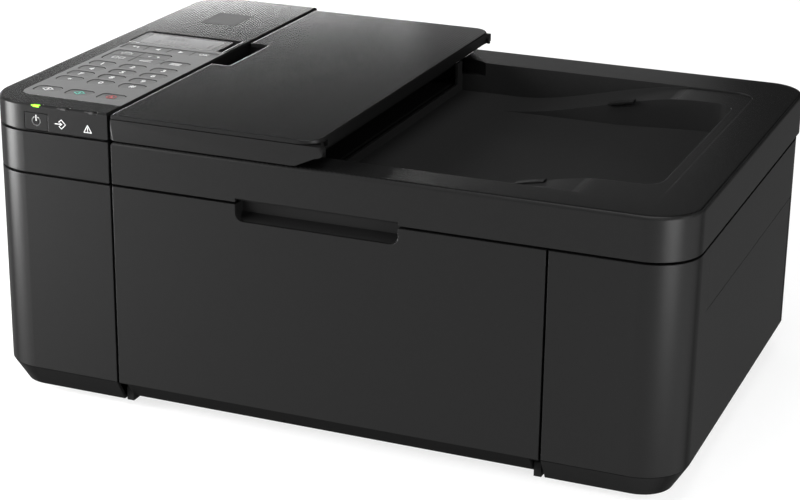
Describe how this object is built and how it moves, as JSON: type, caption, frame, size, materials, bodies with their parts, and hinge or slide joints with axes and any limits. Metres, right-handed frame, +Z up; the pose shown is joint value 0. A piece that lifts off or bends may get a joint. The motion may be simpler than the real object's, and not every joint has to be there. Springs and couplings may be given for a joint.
{
  "type": "inkjet printer",
  "caption": "Compact black inkjet printer with sheet feeder, flatbed scanner, control tower with keys, front paper door and output tray.",
  "frame": {"origin": "centre of the footprint, on the surface the rubber feet stand on", "axes": "+X to the right as seen from the front, +Y to the back, +Z up"},
  "size_m": [0.435, 0.295, 0.189],
  "materials": {
    "case_black": "fine grain, black",
    "case_charcoal": "fine grain, charcoal",
    "glass": "clear, flat",
    "engine_black": "smooth, black",
    "rubber": "matte",
    "steel": "zinc plated sheet and bar",
    "circuit_board": "solder mask green with dark components",
    "guide_grey": "satin dark grey",
    "cartridge": "smooth, coloured labels left out",
    "roller": "ground rubber on a steel shaft",
    "gear_white": "natural acetal",
    "pad_white": "white foam backed sheet",
    "display": "silver grey liquid crystal, unlit",
    "key_grey": "satin, black"
  },
  "bodies": {
    "base": {"lower_case": "case_black", "left_cover": "case_charcoal", "right_cover": "case_charcoal", "rear_cover": "case_black", "scanner_case": "case_charcoal", "scanner_top": "case_charcoal", "scan_glass": "glass", "rubber_feet": "rubber", "case_screws": "steel", "main_frame": "steel", "platen": "engine_black", "logic_board": "circuit_board", "power_supply": "engine_black", "purge_unit": "engine_black", "timing_belt": "rubber", "lid_hinges": "engine_black", "control_panel": "case_charcoal", "display": "display"},
    "door": {"front_door": "case_charcoal"},
    "tray_out": {"output_tray": "case_black"},
    "guide_l": {"paper_guide_left": "guide_grey"},
    "guide_r": {"paper_guide_right": "guide_grey"},
    "print_carriage": {"carriage": "engine_black", "ink_cartridges": "cartridge"},
    "feed_shaft": {"feed_roller": "roller"},
    "eject_shaft": {"eject_roller": "roller"},
    "idler": {"drive_gear": "gear_white"},
    "scan_bar": {"scan_head": "engine_black"},
    "cover": {"lid_shell": "case_charcoal", "lid_pad": "pad_white", "feeder_base": "case_black"},
    "feeder_lid": {"feeder_cover": "case_charcoal"},
    "drum": {"feed_drum": "roller"},
    "pick": {"pick_roller": "roller"},
    "doc_tray": {"document_tray": "case_charcoal"},
    "power_button": {"power_key": "case_charcoal"},
    "back_key_body": {"back_key": "key_grey"},
    "left_key_body": {"left_key": "key_grey"},
    "right_key_body": {"right_key": "key_grey"},
    "ok_key_body": {"ok_key": "key_grey"},
    "copy_key_body": {"copy_key": "key_grey"},
    "scan_key_body": {"scan_key": "key_grey"},
    "fax_key_body": {"fax_key": "key_grey"},
    "reply_key_body": {"reply_key": "key_grey"},
    "menu_key_body": {"menu_key": "key_grey"},
    "key_1_body": {"key_1": "key_grey"},
    "key_2_body": {"key_2": "key_grey"},
    "key_3_body": {"key_3": "key_grey"},
    "key_4_body": {"key_4": "key_grey"},
    "key_5_body": {"key_5": "key_grey"},
    "key_6_body": {"key_6": "key_grey"},
    "key_7_body": {"key_7": "key_grey"},
    "key_8_body": {"key_8": "key_grey"},
    "key_9_body": {"key_9": "key_grey"},
    "key_star_body": {"key_star": "key_grey"},
    "key_0_body": {"key_0": "key_grey"},
    "key_hash_body": {"key_hash": "key_grey"},
    "start_black_key_body": {"start_black_key": "key_grey"},
    "start_colour_key_body": {"start_colour_key": "key_grey"},
    "stop_key_body": {"stop_key": "key_grey"}
  },
  "joints": [
    {"name": "door_hinge", "type": "hinge", "parent": "base", "child": "door", "pos_m": [0.00365, -0.1355, 0.0135], "axis": [1, 0, 0], "range_deg": [0, 88]},
    {"name": "output_tray_slide", "type": "slide", "parent": "base", "child": "tray_out", "axis": [0, -1, 0], "range_m": [0, 0.036]},
    {"name": "guide_left_slide", "type": "slide", "parent": "base", "child": "guide_l", "axis": [1, 0, 0], "range_m": [0, 0.055]},
    {"name": "guide_right_slide", "type": "slide", "parent": "base", "child": "guide_r", "axis": [-1, 0, 0], "range_m": [0, 0.055]},
    {"name": "carriage_slide", "type": "slide", "parent": "base", "child": "print_carriage", "axis": [-1, 0, 0], "range_m": [0, 0.285]},
    {"name": "feed_roller_spin", "type": "hinge", "parent": "base", "child": "feed_shaft", "pos_m": [0, -0.001, 0.053], "axis": [1, 0, 0], "continuous": true},
    {"name": "eject_roller_spin", "type": "hinge", "parent": "base", "child": "eject_shaft", "pos_m": [0, -0.05, 0.0545], "axis": [1, 0, 0], "continuous": true},
    {"name": "drive_gear_spin", "type": "hinge", "parent": "base", "child": "idler", "pos_m": [0, -0.027, 0.0538], "axis": [1, 0, 0], "continuous": true},
    {"name": "scan_head_slide", "type": "slide", "parent": "base", "child": "scan_bar", "axis": [1, 0, 0], "range_m": [0, 0.303]},
    {"name": "cover_hinge", "type": "hinge", "parent": "base", "child": "cover", "pos_m": [0.032, 0.141, 0.149], "axis": [-1, 0, 0], "range_deg": [0, 62]},
    {"name": "feeder_cover_hinge", "type": "hinge", "parent": "cover", "child": "feeder_lid", "pos_m": [-0.1244, 0, 0.1835], "axis": [0, -1, 0], "range_deg": [0, 35]},
    {"name": "feed_drum_spin", "type": "hinge", "parent": "cover", "child": "drum", "pos_m": [-0.108, 0, 0.161], "axis": [0, 1, 0], "continuous": true},
    {"name": "pick_roller_spin", "type": "hinge", "parent": "feeder_lid", "child": "pick", "pos_m": [-0.062, 0, 0.1782], "axis": [0, 1, 0], "continuous": true},
    {"name": "document_tray_hinge", "type": "hinge", "parent": "feeder_lid", "child": "doc_tray", "pos_m": [0.0015, 0, 0.1826], "axis": [0, 1, 0], "range_deg": [0, 140]},
    {"name": "power_key_press", "type": "slide", "parent": "base", "child": "power_button", "axis": [0, 1, 0], "range_m": [0, 0.0006], "stiffness_N_per_m": 400, "springref_m": -0.0006},
    {"name": "back_key_press", "type": "slide", "parent": "base", "child": "back_key_body", "axis": [0, 0, -1], "range_m": [0, 0.0006], "stiffness_N_per_m": 400, "springref_m": -0.0006},
    {"name": "left_key_press", "type": "slide", "parent": "base", "child": "left_key_body", "axis": [0, 0, -1], "range_m": [0, 0.0006], "stiffness_N_per_m": 400, "springref_m": -0.0006},
    {"name": "right_key_press", "type": "slide", "parent": "base", "child": "right_key_body", "axis": [0, 0, -1], "range_m": [0, 0.0006], "stiffness_N_per_m": 400, "springref_m": -0.0006},
    {"name": "ok_key_press", "type": "slide", "parent": "base", "child": "ok_key_body", "axis": [0, 0, -1], "range_m": [0, 0.0006], "stiffness_N_per_m": 400, "springref_m": -0.0006},
    {"name": "copy_key_press", "type": "slide", "parent": "base", "child": "copy_key_body", "axis": [0, 0, -1], "range_m": [0, 0.0006], "stiffness_N_per_m": 400, "springref_m": -0.0006},
    {"name": "scan_key_press", "type": "slide", "parent": "base", "child": "scan_key_body", "axis": [0, 0, -1], "range_m": [0, 0.0006], "stiffness_N_per_m": 400, "springref_m": -0.0006},
    {"name": "fax_key_press", "type": "slide", "parent": "base", "child": "fax_key_body", "axis": [0, 0, -1], "range_m": [0, 0.0006], "stiffness_N_per_m": 400, "springref_m": -0.0006},
    {"name": "reply_key_press", "type": "slide", "parent": "base", "child": "reply_key_body", "axis": [0, 0, -1], "range_m": [0, 0.0006], "stiffness_N_per_m": 400, "springref_m": -0.0006},
    {"name": "menu_key_press", "type": "slide", "parent": "base", "child": "menu_key_body", "axis": [0, 0, -1], "range_m": [0, 0.0006], "stiffness_N_per_m": 400, "springref_m": -0.0006},
    {"name": "key_1_press", "type": "slide", "parent": "base", "child": "key_1_body", "axis": [0, 0, -1], "range_m": [0, 0.0006], "stiffness_N_per_m": 400, "springref_m": -0.0006},
    {"name": "key_2_press", "type": "slide", "parent": "base", "child": "key_2_body", "axis": [0, 0, -1], "range_m": [0, 0.0006], "stiffness_N_per_m": 400, "springref_m": -0.0006},
    {"name": "key_3_press", "type": "slide", "parent": "base", "child": "key_3_body", "axis": [0, 0, -1], "range_m": [0, 0.0006], "stiffness_N_per_m": 400, "springref_m": -0.0006},
    {"name": "key_4_press", "type": "slide", "parent": "base", "child": "key_4_body", "axis": [0, 0, -1], "range_m": [0, 0.0006], "stiffness_N_per_m": 400, "springref_m": -0.0006},
    {"name": "key_5_press", "type": "slide", "parent": "base", "child": "key_5_body", "axis": [0, 0, -1], "range_m": [0, 0.0006], "stiffness_N_per_m": 400, "springref_m": -0.0006},
    {"name": "key_6_press", "type": "slide", "parent": "base", "child": "key_6_body", "axis": [0, 0, -1], "range_m": [0, 0.0006], "stiffness_N_per_m": 400, "springref_m": -0.0006},
    {"name": "key_7_press", "type": "slide", "parent": "base", "child": "key_7_body", "axis": [0, 0, -1], "range_m": [0, 0.0006], "stiffness_N_per_m": 400, "springref_m": -0.0006},
    {"name": "key_8_press", "type": "slide", "parent": "base", "child": "key_8_body", "axis": [0, 0, -1], "range_m": [0, 0.0006], "stiffness_N_per_m": 400, "springref_m": -0.0006},
    {"name": "key_9_press", "type": "slide", "parent": "base", "child": "key_9_body", "axis": [0, 0, -1], "range_m": [0, 0.0006], "stiffness_N_per_m": 400, "springref_m": -0.0006},
    {"name": "key_star_press", "type": "slide", "parent": "base", "child": "key_star_body", "axis": [0, 0, -1], "range_m": [0, 0.0006], "stiffness_N_per_m": 400, "springref_m": -0.0006},
    {"name": "key_0_press", "type": "slide", "parent": "base", "child": "key_0_body", "axis": [0, 0, -1], "range_m": [0, 0.0006], "stiffness_N_per_m": 400, "springref_m": -0.0006},
    {"name": "key_hash_press", "type": "slide", "parent": "base", "child": "key_hash_body", "axis": [0, 0, -1], "range_m": [0, 0.0006], "stiffness_N_per_m": 400, "springref_m": -0.0006},
    {"name": "start_black_key_press", "type": "slide", "parent": "base", "child": "start_black_key_body", "axis": [0, 0, -1], "range_m": [0, 0.0006], "stiffness_N_per_m": 400, "springref_m": -0.0006},
    {"name": "start_colour_key_press", "type": "slide", "parent": "base", "child": "start_colour_key_body", "axis": [0, 0, -1], "range_m": [0, 0.0006], "stiffness_N_per_m": 400, "springref_m": -0.0006},
    {"name": "stop_key_press", "type": "slide", "parent": "base", "child": "stop_key_body", "axis": [0, 0, -1], "range_m": [0, 0.0006], "stiffness_N_per_m": 400, "springref_m": -0.0006}
  ],
  "couplings": [
    {"joint": "guide_right_slide", "follows": "guide_left_slide", "ratio": 1},
    {"joint": "drive_gear_spin", "follows": "feed_roller_spin", "ratio": -1.3636},
    {"joint": "eject_roller_spin", "follows": "feed_roller_spin", "ratio": 1.25},
    {"joint": "pick_roller_spin", "follows": "feed_drum_spin", "ratio": -1.8519}
  ]
}
